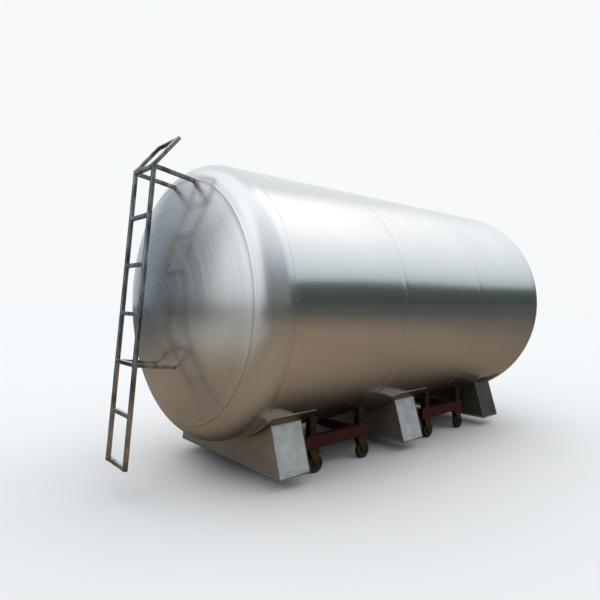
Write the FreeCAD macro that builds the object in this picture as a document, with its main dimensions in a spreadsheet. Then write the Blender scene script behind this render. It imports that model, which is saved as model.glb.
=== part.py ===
import FreeCAD, Part
import math
import os
import re

import Sketcher

# A horizontal water tank of stainless steel.  The shell is three rolled courses between two dished
# heads.  Three box saddles are welded under it, and a ladder hangs on the front head.  Two dollies
# on casters carry it.
# +X runs along the tank from the ladder end to the rear, +Z is up, and Y is zero in the tank's middle plane.
# The origin is on the ground below the middle of the overall length.

SIZES = {
    # vessel
    "shell_radius": 1100,
    "wall": 4,
    "course_length": 1195,
    "flange_length": 30,
    "crown_radius": 2200,
    "knuckle_radius": 220,
    # saddles
    "saddle_clearance": 96,
    "front_saddle_inset": 319,
    "rear_saddle_inset": 286,
    "saddle_length": 300,
    "saddle_angle": 34.1,
    "saddle_flare": 113,
    "saddle_plate": 8,
    "base_plate": 10,
    "wear_length": 440,
    "wear_angle": 41,
    "wear_thickness": 6,
    # ladder
    "tube_size": 30,
    "tube_wall": 2,
    "rail_spacing": 316,
    "ladder_shift": -17,
    "top_bar_drop": 112,
    "lean_angle": 5.22,
    "foot_reach": 757,
    "foot_height": 252,
    "upper_drop": 9.9,
    "lower_drop": 7.5,
    "handhold_lean": 40.6,
    "handhold_length": 300,
    # dollies
    "dolly_length": 750,
    "front_dolly_shift": -119,
    "rear_dolly_shift": 6,
    "beam_offset": 550,
    "beam_width": 60,
    "beam_height": 100,
    "beam_wall": 4,
    "cross_height": 70,
    "shell_gap": 22,
    "post_length": 70,
    "swivel_inset": 80,
    # casters
    "caster_height": 208,
    "mount_length": 110,
    "mount_width": 90,
    "mount_thickness": 8,
    "kingpin_radius": 8,
    "kingpin_length": 24,
    "pin_clearance": 0.05,
    "swivel_gap": 1,
    "swivel_radius": 36,
    "swivel_thickness": 10,
    "fork_thickness": 5,
    "fork_front": 38,
    "fork_rear": 66,
    "trail": 40,
    "wheel_radius": 75,
    "tyre_width": 40,
    "tyre_depth": 18,
    "tyre_rounding": 8,
    "web_width": 24,
    "hub_width": 48,
    "hub_radius": 22,
    "hub_gap": 0.5,
    "axle_radius": 6,
    "axle_boss": 26,
    "pedal_reach": 56,
    "pedal_width": 44,
    "pedal_drop": 34,
}

RUNGS = 5
ALIASES = re.compile(r"\b(" + "|".join(SIZES) + r")\b")

# Lengths that follow from the driving sizes.
CROWN_SINE = "((shell_radius - knuckle_radius) / (crown_radius - knuckle_radius))"
CROWN_COSINE = f"sqrt(1 - {CROWN_SINE} ^ 2)"
CROWN_CENTRE = f"(flange_length + (knuckle_radius - crown_radius) * {CROWN_COSINE})"
HEAD_DEPTH = f"({CROWN_CENTRE} + crown_radius)"
FOOT_HALF = "(tube_size / 2 * (cos(lean_angle) + sin(lean_angle)))"
FRONT_SEAM = f"((foot_reach + {FOOT_HALF} - 3 * course_length - {HEAD_DEPTH}) / 2)"
AXIS_HEIGHT = "(caster_height + cross_height + shell_gap + shell_radius)"
CRADLE_RADIUS = "(shell_radius + wear_thickness)"
SADDLE_TOP = f"({CRADLE_RADIUS} * sin(saddle_angle))"
SADDLE_PITCH = "((3 * course_length - front_saddle_inset - rear_saddle_inset) / 2)"
BOX_BOTTOM = f"(saddle_clearance + base_plate - {AXIS_HEIGHT})"
LADDER_TOP = f"(({AXIS_HEIGHT} + shell_radius - top_bar_drop - foot_height) / cos(lean_angle))"
RUNG_PITCH = f"({LADDER_TOP} / {RUNGS + 1})"
RUNG_LENGTH = "(rail_spacing - tube_size)"
RUNG_START = f"(ladder_shift - {RUNG_LENGTH} / 2)"
BEAM_BOTTOM = f"(caster_height - {AXIS_HEIGHT})"
BEAM_INNER = "(beam_offset - beam_width / 2)"
BEAM_OUTER = "(beam_offset + beam_width / 2)"
SWIVEL_TOP = "(caster_height - mount_thickness - swivel_gap)"
CROWN_TOP = f"({SWIVEL_TOP} - swivel_thickness)"
FORK_INNER = "(hub_width / 2 + hub_gap)"
FORK_OUTER = f"({FORK_INNER} + fork_thickness)"

doc = FreeCAD.newDocument("WaterTank")
sheet = doc.addObject("Spreadsheet::Sheet", "Sizes")
for row, (alias, number) in enumerate(SIZES.items(), start=1):
    sheet.set(f"A{row}", alias.replace("_", " "))
    sheet.set(f"B{row}", str(number))
    sheet.setAlias(f"B{row}", alias)
doc.recompute()

nodes = []


# ---------------------------------------------------------------- binding sizes to the sheet

def formula(text):
    """Turn size names in a formula into references to the sheet's cells."""
    return ALIASES.sub(r"Sizes.\1", str(text))


def amount(text):
    """The present value of a formula."""
    result = sheet.evalExpression(formula(text))
    return float(getattr(result, "Value", result))


def bind(thing, **formulas):
    """Bind properties of an object to formulas."""
    for name, text in formulas.items():
        thing.setExpression(name, formula(text))


def place(thing, x="0", y="0", z="0", turn=None, axis=(0, 1, 0)):
    """Bind an object's position to formulas, and its turn about an axis."""
    if turn is not None:
        thing.Placement = FreeCAD.Placement(FreeCAD.Vector(), FreeCAD.Rotation(FreeCAD.Vector(*axis), 1))
        thing.setExpression("Placement.Rotation.Angle", formula(turn))
    for letter, text in zip("xyz", (x, y, z)):
        thing.setExpression(f"Placement.Base.{letter}", formula(text))


def keep(thing, label):
    """Name an object as one of the kept pieces."""
    thing.Label = label
    nodes.append(thing)
    return thing


# ---------------------------------------------------------------- sketches and features

def new_body(label):
    """A new body for the piece of this name."""
    return doc.addObject("PartDesign::Body", label + "_body")


def new_sketch(body, plane, offset="0"):
    """A sketch on one of the body's own origin planes, moved along the plane's normal."""
    sketch = body.newObject("Sketcher::SketchObject", "Sketch")
    support = next(item for item in body.Origin.OriginFeatures if item.Role == plane)
    sketch.AttachmentSupport = [(support, "")]
    sketch.MapMode = "FlatFace"
    sketch.setExpression("AttachmentOffset.Base.z", formula(offset))
    return sketch


def pin_point(sketch, edge, end, across, up):
    """Fix one end of an edge at a place given by two formulas."""
    for kind, text, axis in (("DistanceX", across, -2), ("DistanceY", up, -1)):
        if text == "0":
            sketch.addConstraint(Sketcher.Constraint("PointOnObject", edge, end, axis))
            continue
        number = sketch.addConstraint(Sketcher.Constraint(kind, edge, end, amount(text)))
        sketch.setExpression(f"Constraints[{number}]", formula(text))


def arc_between(start, stop, radius, bulge):
    """The arc of this radius that joins two points, bulging to the left (1) or right (-1) of the way."""
    chord = stop - start
    side = FreeCAD.Vector(-chord.y, chord.x, 0).normalize() * bulge
    centre = start + chord / 2 - side * math.sqrt(radius ** 2 - (chord.Length / 2) ** 2)
    first, last = (stop, start) if bulge > 0 else (start, stop)
    begin = math.atan2(first.y - centre.y, first.x - centre.x)
    end = math.atan2(last.y - centre.y, last.x - centre.x)
    circle = Part.Circle(centre, FreeCAD.Vector(0, 0, 1), radius)
    return Part.ArcOfCircle(circle, begin, end if end > begin else end + 2 * math.pi)


def draw_outline(sketch, corners, arcs=None):
    """Close an outline through corners; arcs maps an edge's number to its radius and its side."""
    arcs = arcs or {}
    points = [FreeCAD.Vector(amount(across), amount(up), 0) for across, up in corners]
    ends = []
    for number, start in enumerate(points):
        stop = points[(number + 1) % len(points)]
        if number not in arcs:
            edge = sketch.addGeometry(Part.LineSegment(start, stop))
            ends.append((edge, 1, 2))
            continue
        radius, bulge = arcs[number]
        edge = sketch.addGeometry(arc_between(start, stop, amount(radius), bulge))
        ends.append((edge, 2, 1) if bulge > 0 else (edge, 1, 2))
        rounding = sketch.addConstraint(Sketcher.Constraint("Radius", edge, amount(radius)))
        sketch.setExpression(f"Constraints[{rounding}]", formula(radius))
    for number, (edge, first, last) in enumerate(ends):
        after, start, _ = ends[(number + 1) % len(ends)]
        sketch.addConstraint(Sketcher.Constraint("Coincident", edge, last, after, start))
        pin_point(sketch, edge, first, *corners[number])


def draw_rectangle(sketch, left, right, low, high):
    """A rectangle between two places across and two places up."""
    draw_outline(sketch, [(left, low), (right, low), (right, high), (left, high)])


def draw_circle(sketch, across, up, radius):
    """A circle with its centre and radius bound to formulas."""
    centre = FreeCAD.Vector(amount(across), amount(up), 0)
    circle = sketch.addGeometry(Part.Circle(centre, FreeCAD.Vector(0, 0, 1), amount(radius)))
    pin_point(sketch, circle, 3, across, up)
    size = sketch.addConstraint(Sketcher.Constraint("Radius", circle, amount(radius)))
    sketch.setExpression(f"Constraints[{size}]", formula(radius))


def pad(body, sketch, length, reverse=False):
    """Raise a sketch along its plane's normal, or against it."""
    feature = body.newObject("PartDesign::Pad", "Pad")
    feature.Profile = sketch
    feature.Reversed = reverse
    bind(feature, Length=length)
    sketch.Visibility = False
    return feature


def pocket(body, sketch, length, reverse=False):
    """Cut a sketch into the body against its plane's normal, or along it."""
    feature = body.newObject("PartDesign::Pocket", "Pocket")
    feature.Profile = sketch
    feature.Reversed = reverse
    bind(feature, Length=length)
    return feature


def revolve(body, sketch, axis):
    """Turn a sketch all the way round its own horizontal or vertical axis."""
    feature = body.newObject("PartDesign::Revolution", "Revolution")
    feature.Profile = sketch
    feature.ReferenceAxis = (sketch, [axis])
    feature.Angle = 360
    return feature


def new_tube(label, plane, across, up, wall, length):
    """A rectangular tube, centred on the body's origin, that runs along the plane's normal."""
    body = new_body(label)
    sketch = new_sketch(body, plane)
    draw_rectangle(sketch, f"-({across}) / 2", f"({across}) / 2", f"-({up}) / 2", f"({up}) / 2")
    inner_across = f"(({across}) / 2 - {wall})"
    inner_up = f"(({up}) / 2 - {wall})"
    draw_rectangle(sketch, f"-{inner_across}", inner_across, f"-{inner_up}", inner_up)
    pad(body, sketch, length, reverse=plane == "XZ_Plane")
    return body


def cut(base, tool, name):
    """What is left of one shape when another is taken away."""
    result = doc.addObject("Part::Cut", name)
    result.Base = base
    result.Tool = tool
    return result


# ---------------------------------------------------------------- vessel

def make_course(label, number):
    """A rolled cylinder of sheet; the three stand end to end."""
    body = new_body(label)
    sketch = new_sketch(body, "YZ_Plane")
    draw_circle(sketch, "0", "0", "shell_radius")
    draw_circle(sketch, "0", "0", "shell_radius - wall")
    pad(body, sketch, "course_length")
    place(body, f"{FRONT_SEAM} + {number} * course_length", z=AXIS_HEIGHT)
    keep(body, label)


KNUCKLE_CENTRE = "(shell_radius - knuckle_radius)"
HEAD_CORNERS = [
    ("0", "shell_radius"),
    ("flange_length", "shell_radius"),
    (f"flange_length + knuckle_radius * {CROWN_COSINE}", f"{KNUCKLE_CENTRE} + knuckle_radius * {CROWN_SINE}"),
    (HEAD_DEPTH, "0"),
]


def make_head(label, x, turn):
    """A dished head: straight flange, knuckle and crown, turned about the tank's axis."""
    inner_knuckle = "(knuckle_radius - wall)"
    body = new_body(label)
    sketch = new_sketch(body, "XY_Plane")
    corners = HEAD_CORNERS + [
        (f"{HEAD_DEPTH} - wall", "0"),
        (
            f"flange_length + {inner_knuckle} * {CROWN_COSINE}",
            f"{KNUCKLE_CENTRE} + {inner_knuckle} * {CROWN_SINE}",
        ),
        ("flange_length", "shell_radius - wall"),
        ("0", "shell_radius - wall"),
    ]
    arcs = {
        1: ("knuckle_radius", 1),
        2: ("crown_radius", 1),
        4: ("crown_radius - wall", -1),
        5: (inner_knuckle, -1),
    }
    draw_outline(sketch, corners, arcs)
    revolve(body, sketch, "H_Axis")
    place(body, x, z=AXIS_HEIGHT, turn=turn, axis=(0, 0, 1))
    keep(body, label)


def make_vessel():
    make_head("front_head", FRONT_SEAM, "180")
    for number, label in enumerate(("front_course", "middle_course", "rear_course")):
        make_course(label, number)
    make_head("rear_head", f"{FRONT_SEAM} + 3 * course_length", "0")


# ---------------------------------------------------------------- saddles

def make_saddle(name, number):
    """A closed box of plate under the shell, with a wear plate above it and a base plate below."""
    middle = f"{FRONT_SEAM} + front_saddle_inset + {number} * {SADDLE_PITCH}"

    wear = new_body(f"{name}_wear_plate")
    sketch = new_sketch(wear, "YZ_Plane")
    inner = ("shell_radius * sin(wear_angle)", "-shell_radius * cos(wear_angle)")
    outer = (f"{CRADLE_RADIUS} * sin(wear_angle)", f"-{CRADLE_RADIUS} * cos(wear_angle)")
    corners = [(f"-{inner[0]}", inner[1]), inner, outer, (f"-{outer[0]}", outer[1])]
    draw_outline(sketch, corners, {0: ("shell_radius", -1), 2: (CRADLE_RADIUS, 1)})
    pad(wear, sketch, "wear_length")
    place(wear, f"{middle} - wear_length / 2", z=AXIS_HEIGHT)
    keep(wear, f"{name}_wear_plate")

    box = new_body(name)
    top = f"-sqrt({CRADLE_RADIUS} ^ 2 - {SADDLE_TOP} ^ 2)"
    foot = f"({SADDLE_TOP} + saddle_flare)"
    sketch = new_sketch(box, "YZ_Plane")
    corners = [(f"-{foot}", BOX_BOTTOM), (foot, BOX_BOTTOM), (SADDLE_TOP, top), (f"-{SADDLE_TOP}", top)]
    draw_outline(sketch, corners, {2: (CRADLE_RADIUS, 1)})
    pad(box, sketch, "saddle_length")
    hollow = new_sketch(box, "YZ_Plane", "saddle_plate")
    slope = f"(saddle_flare / ({top} - {BOX_BOTTOM}))"
    inset = f"(saddle_plate * sqrt(1 + {slope} ^ 2))"
    low_half = f"({foot} - {inset})"
    high_half = f"({SADDLE_TOP} - {inset} - saddle_plate * {slope})"
    high = f"({top} + saddle_plate)"
    corners = [
        (f"-{low_half}", BOX_BOTTOM),
        (low_half, BOX_BOTTOM),
        (high_half, high),
        (f"-{high_half}", high),
    ]
    draw_outline(hollow, corners)
    pocket(box, hollow, "saddle_length - 2 * saddle_plate", reverse=True)
    place(box, f"{middle} - saddle_length / 2", z=AXIS_HEIGHT)
    keep(box, name)

    base = new_body(f"{name}_base_plate")
    sketch = new_sketch(base, "XY_Plane")
    draw_rectangle(sketch, "-saddle_length / 2", "saddle_length / 2", f"-{foot}", foot)
    pad(base, sketch, "base_plate")
    place(base, middle, z="saddle_clearance")
    keep(base, f"{name}_base_plate")


# ---------------------------------------------------------------- ladder

def place_on_ladder(thing, forward="0", y="0", along="0", turn="lean_angle"):
    """Place an object by its offset towards the tank and its distance up the leaning ladder."""
    x = f"{FRONT_SEAM} - foot_reach + ({forward}) * cos(lean_angle) + ({along}) * sin(lean_angle)"
    z = f"foot_height - ({forward}) * sin(lean_angle) + ({along}) * cos(lean_angle)"
    place(thing, x, y, z, turn)


def make_crossbar(label, along):
    """A bar of square tube between the rails."""
    bar = new_tube(label, "XZ_Plane", "tube_size", "tube_size", "tube_wall", RUNG_LENGTH)
    place_on_ladder(bar, y=RUNG_START, along=along)
    keep(bar, label)


def make_bracket(label, y, along, drop, rail_side, head_space):
    """A tube that slopes down from a rail to the head, cut to fit both."""
    reach = f"(foot_reach - ({along}) * sin(lean_angle))"
    tube = new_tube(label, "YZ_Plane", "tube_size", "tube_size", "tube_wall", reach)
    place_on_ladder(tube, y=y, along=along, turn=drop)
    keep(cut(cut(tube, rail_side, label + "_fitted"), head_space, label), label)


def make_handhold_bar(label, y, rail_top):
    """A tube that leans from a rail's top towards the tank, cut to stand on the rail."""
    bar = new_tube(label, "XY_Plane", "tube_size", "tube_size", "tube_wall", "handhold_length + tube_size")
    along = f"{LADDER_TOP} + tube_size / 2"
    x = f"{FRONT_SEAM} - foot_reach + ({along}) * sin(lean_angle) - tube_size * sin(handhold_lean)"
    z = f"foot_height + ({along}) * cos(lean_angle) - tube_size * cos(handhold_lean)"
    place(bar, x, y, z, "handhold_lean")
    keep(cut(bar, rail_top, label), label)


def make_ladder():
    sides = {"near": "ladder_shift - rail_spacing / 2", "far": "ladder_shift + rail_spacing / 2"}
    for side, y in sides.items():
        label = f"ladder_{side}_rail"
        rail = new_tube(label, "XY_Plane", "tube_size", "tube_size", "tube_wall", f"{LADDER_TOP} + tube_size")
        place_on_ladder(rail, y=y, along="-tube_size / 2")
        keep(rail, label)

    make_crossbar("ladder_bottom_bar", "0")
    for number in range(1, RUNGS + 1):
        make_crossbar(f"ladder_rung_{number}", f"{number} * {RUNG_PITCH}")
    make_crossbar("ladder_top_bar", LADDER_TOP)

    # The space in front of the rails' tank side, the space below their tops, and the space inside the head.
    rail_side = doc.addObject("Part::Box", "RailSide")
    height = f"{LADDER_TOP} + 4 * tube_size"
    bind(rail_side, Length="2 * tube_size", Width="2 * rail_spacing", Height=height)
    place_on_ladder(rail_side, "-1.5 * tube_size", "ladder_shift - rail_spacing", "-2 * tube_size")
    rail_top = doc.addObject("Part::Box", "RailTop")
    bind(rail_top, Length="6 * tube_size", Width="2 * rail_spacing", Height="4 * tube_size")
    foot = f"{LADDER_TOP} - 3.5 * tube_size"
    place_on_ladder(rail_top, "-3 * tube_size", "ladder_shift - rail_spacing", foot)
    head_space = doc.addObject("PartDesign::Body", "HeadSpace")
    sketch = new_sketch(head_space, "XY_Plane")
    draw_outline(sketch, [("0", "0")] + HEAD_CORNERS, {2: ("knuckle_radius", 1), 3: ("crown_radius", 1)})
    revolve(head_space, sketch, "H_Axis")
    place(head_space, FRONT_SEAM, z=AXIS_HEIGHT, turn="180", axis=(0, 0, 1))

    for side, y in sides.items():
        make_bracket(f"upper_{side}_bracket", y, LADDER_TOP, "upper_drop", rail_side, head_space)
        make_bracket(f"lower_{side}_bracket", y, f"2 * {RUNG_PITCH}", "lower_drop", rail_side, head_space)
        make_handhold_bar(f"handhold_{side}_bar", y, rail_top)

    crossbar = new_tube("handhold_crossbar", "XZ_Plane", "tube_size", "tube_size", "tube_wall", RUNG_LENGTH)
    along = f"{LADDER_TOP} + tube_size / 2"
    rise = "(handhold_length - tube_size / 2)"
    x = f"{FRONT_SEAM} - foot_reach + ({along}) * sin(lean_angle) + {rise} * sin(handhold_lean)"
    z = f"foot_height + ({along}) * cos(lean_angle) + {rise} * cos(handhold_lean)"
    place(crossbar, x, RUNG_START, z, "handhold_lean")
    keep(crossbar, "handhold_crossbar")


# ---------------------------------------------------------------- dollies

# The two swivel axes of a dolly's side, measured from the dolly's front end.
SWIVELS = {"front": "swivel_inset", "rear": "(dolly_length - swivel_inset)"}


def make_dolly_side(label, dolly, side):
    """A hollow side beam with its two curved posts, caster plates and kingpins, welded as one."""
    body = new_body(label)

    def across(text):
        return f"{side} * {text}"

    low, high = BEAM_BOTTOM, f"({BEAM_BOTTOM} + beam_height)"
    beam = new_sketch(body, "YZ_Plane")
    draw_rectangle(beam, across(BEAM_INNER), across(BEAM_OUTER), low, high)
    draw_rectangle(beam, across(f"({BEAM_INNER} + beam_wall)"), across(f"({BEAM_OUTER} - beam_wall)"),
                   f"{low} + beam_wall", f"{high} - beam_wall")
    pad(body, beam, "dolly_length")

    inner_top = f"-sqrt(shell_radius ^ 2 - {BEAM_INNER} ^ 2)"
    outer_top = f"-sqrt(shell_radius ^ 2 - {BEAM_OUTER} ^ 2)"
    for end in SWIVELS.values():
        post = new_sketch(body, "YZ_Plane", f"{end} - post_length / 2")
        corners = [
            (across(BEAM_INNER), high),
            (across(BEAM_OUTER), high),
            (across(BEAM_OUTER), outer_top),
            (across(BEAM_INNER), inner_top),
        ]
        draw_outline(post, corners, {2: ("shell_radius", side)})
        pad(body, post, "post_length")

        plate = new_sketch(body, "XY_Plane", low)
        y_low = across("beam_offset") + " - mount_width / 2"
        y_high = across("beam_offset") + " + mount_width / 2"
        draw_rectangle(plate, f"{end} - mount_length / 2", f"{end} + mount_length / 2", y_low, y_high)
        pad(body, plate, "mount_thickness", reverse=True)

        pin = new_sketch(body, "XY_Plane", f"{low} - mount_thickness")
        draw_circle(pin, end, across("beam_offset"), "kingpin_radius")
        pad(body, pin, "kingpin_length", reverse=True)

    place(body, dolly, z=AXIS_HEIGHT)
    keep(body, label)


def make_cross_beam(label, dolly, end):
    """A hollow beam between the dolly's sides, over a pair of casters."""
    length = f"(2 * {BEAM_INNER})"
    beam = new_tube(label, "XZ_Plane", "beam_width", "cross_height", "beam_wall", length)
    place(beam, f"{dolly} + {end}", f"-{BEAM_INNER}", "caster_height + cross_height / 2")
    keep(beam, label)


def make_fork(label, x, y):
    """A caster's swivelling fork with its axle and brake pedal, placed by its swivel axis."""
    body = new_body(label)
    disc = new_sketch(body, "XY_Plane", SWIVEL_TOP)
    draw_circle(disc, "0", "0", "swivel_radius")
    pad(body, disc, "swivel_thickness", reverse=True)
    crown = new_sketch(body, "XY_Plane", CROWN_TOP)
    draw_rectangle(crown, "-fork_front", "fork_rear", f"-{FORK_OUTER}", FORK_OUTER)
    pad(body, crown, "fork_thickness", reverse=True)

    for start in (f"-{FORK_OUTER}", FORK_INNER):
        leg = new_sketch(body, "XZ_Plane", f"-({start})")
        corners = [
            ("-fork_front", CROWN_TOP),
            ("trail - axle_boss * cos(30)", "wheel_radius - axle_boss * sin(30)"),
            ("trail + axle_boss * cos(30)", "wheel_radius - axle_boss * sin(30)"),
            ("fork_rear", CROWN_TOP),
        ]
        draw_outline(leg, corners, {1: ("axle_boss", -1)})
        pad(body, leg, "fork_thickness", reverse=True)

    axle = new_sketch(body, "XZ_Plane", FORK_INNER)
    draw_circle(axle, "trail", "wheel_radius", "axle_radius")
    pad(body, axle, f"2 * {FORK_INNER}", reverse=True)

    pedal = new_sketch(body, "XZ_Plane", "pedal_width / 2")
    tip = ("fork_rear + pedal_reach", f"{CROWN_TOP} - pedal_drop")
    corners = [
        ("fork_rear", CROWN_TOP),
        ("fork_rear", f"{CROWN_TOP} - fork_thickness"),
        (tip[0], f"{tip[1]} - fork_thickness"),
        tip,
    ]
    draw_outline(pedal, corners)
    pad(body, pedal, "pedal_width", reverse=True)

    bore = new_sketch(body, "XY_Plane", SWIVEL_TOP)
    draw_circle(bore, "0", "0", "kingpin_radius + pin_clearance")
    pocket(body, bore, "swivel_thickness + fork_thickness")
    place(body, x, y)
    keep(body, label)


def make_wheel(label, x, y):
    """A wheel turned about its axle: hub, thin web and a tyre with rounded shoulders."""
    body = new_body(label)
    sketch = new_sketch(body, "XY_Plane")
    bore = "(axle_radius + pin_clearance)"
    rim = "(wheel_radius - tyre_depth)"
    shoulder = "(wheel_radius - tyre_rounding)"
    half = [
        (bore, "hub_width / 2"),
        ("hub_radius", "hub_width / 2"),
        ("hub_radius", "web_width / 2"),
        (rim, "web_width / 2"),
        (rim, "tyre_width / 2"),
        (shoulder, "tyre_width / 2"),
        ("wheel_radius", "tyre_width / 2 - tyre_rounding"),
    ]
    corners = half + [(across, f"-({up})") for across, up in reversed(half)]
    draw_outline(sketch, corners, {5: ("tyre_rounding", 1), 7: ("tyre_rounding", 1)})
    revolve(body, sketch, "V_Axis")
    place(body, x, y, "wheel_radius")
    keep(body, label)


def make_dolly(name, number, shift):
    """A frame with four casters, between two saddles and moved a little along the tank."""
    dolly = f"{FRONT_SEAM} + front_saddle_inset + {number} * {SADDLE_PITCH} + {shift} - dolly_length / 2"
    for side_name, side in (("near", -1), ("far", 1)):
        make_dolly_side(f"{name}_{side_name}_side", dolly, side)
        for end_name, end in SWIVELS.items():
            caster = f"{name}_{side_name}_{end_name}"
            make_fork(f"{caster}_fork", f"{dolly} + {end}", f"{side} * beam_offset")
            make_wheel(f"{caster}_wheel", f"{dolly} + {end} + trail", f"{side} * beam_offset")
    for end_name, end in SWIVELS.items():
        make_cross_beam(f"{name}_{end_name}_beam", dolly, end)


make_vessel()
for number, name in enumerate(("front_saddle", "middle_saddle", "rear_saddle")):
    make_saddle(name, number)
make_ladder()
make_dolly("front_dolly", 0.5, "front_dolly_shift")
make_dolly("rear_dolly", 1.5, "rear_dolly_shift")
doc.recompute()

# ---------------------------------------------------------------- checks and files

for thing in doc.Objects:
    if {"Invalid", "Error"} & set(thing.State):
        raise RuntimeError(f"{thing.Label} did not rebuild: {thing.State}")
for node in nodes:
    shape = node.Shape
    if shape.isNull() or not shape.isValid() or len(shape.Solids) != 1:
        raise RuntimeError(f"{node.Label} is not one valid solid")

os.makedirs("parts", exist_ok=True)
for node in nodes:
    node.Shape.exportStep(f"parts/{node.Label}.step")
    print(f"{node.Label}: {node.Shape.Volume / 1000:.0f} cm3")
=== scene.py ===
import math

import bpy
from mathutils import Matrix, Vector


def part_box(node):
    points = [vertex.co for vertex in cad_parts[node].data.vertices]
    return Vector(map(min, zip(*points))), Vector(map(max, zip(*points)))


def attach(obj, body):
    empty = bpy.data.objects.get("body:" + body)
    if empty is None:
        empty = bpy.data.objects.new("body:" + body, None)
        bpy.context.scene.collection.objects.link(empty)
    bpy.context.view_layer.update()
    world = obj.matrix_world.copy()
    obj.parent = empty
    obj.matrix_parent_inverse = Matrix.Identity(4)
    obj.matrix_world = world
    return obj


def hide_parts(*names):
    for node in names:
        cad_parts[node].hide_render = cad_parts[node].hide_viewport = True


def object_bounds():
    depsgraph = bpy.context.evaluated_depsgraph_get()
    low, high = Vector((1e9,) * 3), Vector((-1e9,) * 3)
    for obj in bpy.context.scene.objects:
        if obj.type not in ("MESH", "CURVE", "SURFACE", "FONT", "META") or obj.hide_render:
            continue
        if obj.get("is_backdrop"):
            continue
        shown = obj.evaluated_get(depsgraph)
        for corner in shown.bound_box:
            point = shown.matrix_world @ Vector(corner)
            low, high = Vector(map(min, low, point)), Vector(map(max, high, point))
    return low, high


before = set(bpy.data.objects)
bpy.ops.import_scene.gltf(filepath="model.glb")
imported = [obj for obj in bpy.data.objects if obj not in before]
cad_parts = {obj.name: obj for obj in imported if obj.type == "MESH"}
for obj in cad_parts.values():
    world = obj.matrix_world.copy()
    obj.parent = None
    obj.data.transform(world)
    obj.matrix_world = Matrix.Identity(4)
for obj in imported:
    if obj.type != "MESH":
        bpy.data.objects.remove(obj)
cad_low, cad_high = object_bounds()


# ---- Camera
# It stands off the near side of the ladder end, level with the middle of the tank,
# and is rolled by under half a degree.
bpy.ops.object.select_all(action="DESELECT")
front_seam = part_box("front_course")[0].x
rear_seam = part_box("rear_course")[1].x
shell_low, shell_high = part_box("middle_course")
axis_height = (shell_low.z + shell_high.z) / 2
shell_radius = (shell_high.y - shell_low.y) / 2

stand_off = Vector((-2.106, -3.509, 0.044))
heading = math.radians(-41.53)
roll = math.radians(0.43)
bpy.ops.object.camera_add(location=Vector((front_seam, 0, axis_height)) + stand_off)
camera = bpy.context.object
upright = Matrix.Rotation(math.radians(90), 4, "X")
turn = Matrix.Rotation(heading, 4, "Z") @ upright @ Matrix.Rotation(roll, 4, "Z")
camera.rotation_euler = turn.to_euler()
camera.data.sensor_width = 36
camera.data.lens = 29.43
camera.data.shift_y = -0.00325
camera.data.clip_end = 200
bpy.context.scene.camera = camera
bpy.context.scene.view_settings.view_transform = "Standard"


# ---- Floor and light
# The camera sees a pale floor under a soft white sky, with a painted shadow darkening it under
# the tank. The steel mirrors an open yard instead: brown ground with painted shade under the tank,
# dark trees, a patch of blue light on the far side and bright sky past the ladder.
floor_size = 120
floor_drop = 0.001
bpy.ops.object.select_all(action="DESELECT")
bpy.ops.mesh.primitive_plane_add(size=floor_size, location=(0, 0, cad_low.z - floor_drop))
floor = bpy.context.object
floor.name = "floor"
floor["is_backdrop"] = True


def mixed(nodes, links, factor, first, second):
    """A blend of two, each given as a colour or as the colour another node puts out."""
    mix = nodes.new("ShaderNodeMix")
    mix.data_type = "RGBA"
    for value, name in ((first, "A"), (second, "B")):
        if isinstance(value, tuple):
            mix.inputs[name].default_value = (*value, 1)
        else:
            links.new(value, mix.inputs[name])
    links.new(factor, mix.inputs["Factor"])
    return mix.outputs["Result"]


def share(nodes, links, value, low, high):
    """How far a value has gone from low to high, smoothly."""
    node = nodes.new("ShaderNodeMapRange")
    node.interpolation_type = "SMOOTHSTEP"
    node.inputs["From Min"].default_value = low
    node.inputs["From Max"].default_value = high
    links.new(value, node.inputs["Value"])
    return node.outputs["Result"]


def worked_out(nodes, links, operation, *values):
    """The result of one operation on values, each a number or what another node puts out."""
    node = nodes.new("ShaderNodeMath")
    node.operation = operation
    for socket, value in zip(node.inputs, values):
        if isinstance(value, float):
            socket.default_value = value
        else:
            links.new(value, socket)
    return node.outputs["Value"]


def tone_scale(nodes, links, value, low, high, tones):
    """Colours along a value that runs from low to high: each tone is a value and its colour."""
    rise = nodes.new("ShaderNodeMapRange")
    rise.inputs["From Min"].default_value = low
    rise.inputs["From Max"].default_value = high
    links.new(value, rise.inputs["Value"])
    scale = nodes.new("ShaderNodeValToRGB")
    links.new(rise.outputs["Result"], scale.inputs["Fac"])
    while len(scale.color_ramp.elements) < len(tones):
        scale.color_ramp.elements.new(0.5)
    for stop, (place, tone) in zip(scale.color_ramp.elements, tones):
        stop.position = (place - low) / (high - low)
        stop.color = (*tone, 1)
    return scale.outputs["Color"]


def floor_patch(along_edges, across_edges):
    """A soft-edged rectangle on the floor: each edge is where it begins and where it is full."""
    edges = [(along, edge) for edge in along_edges] + [(across, edge) for edge in across_edges]
    patch = None
    for value, (low, high) in edges:
        fade = share(floor_nodes, floor_links, value, low, high)
        if patch is None:
            patch = fade
        else:
            patch = worked_out(floor_nodes, floor_links, "MULTIPLY", patch, fade)
    return patch


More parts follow.
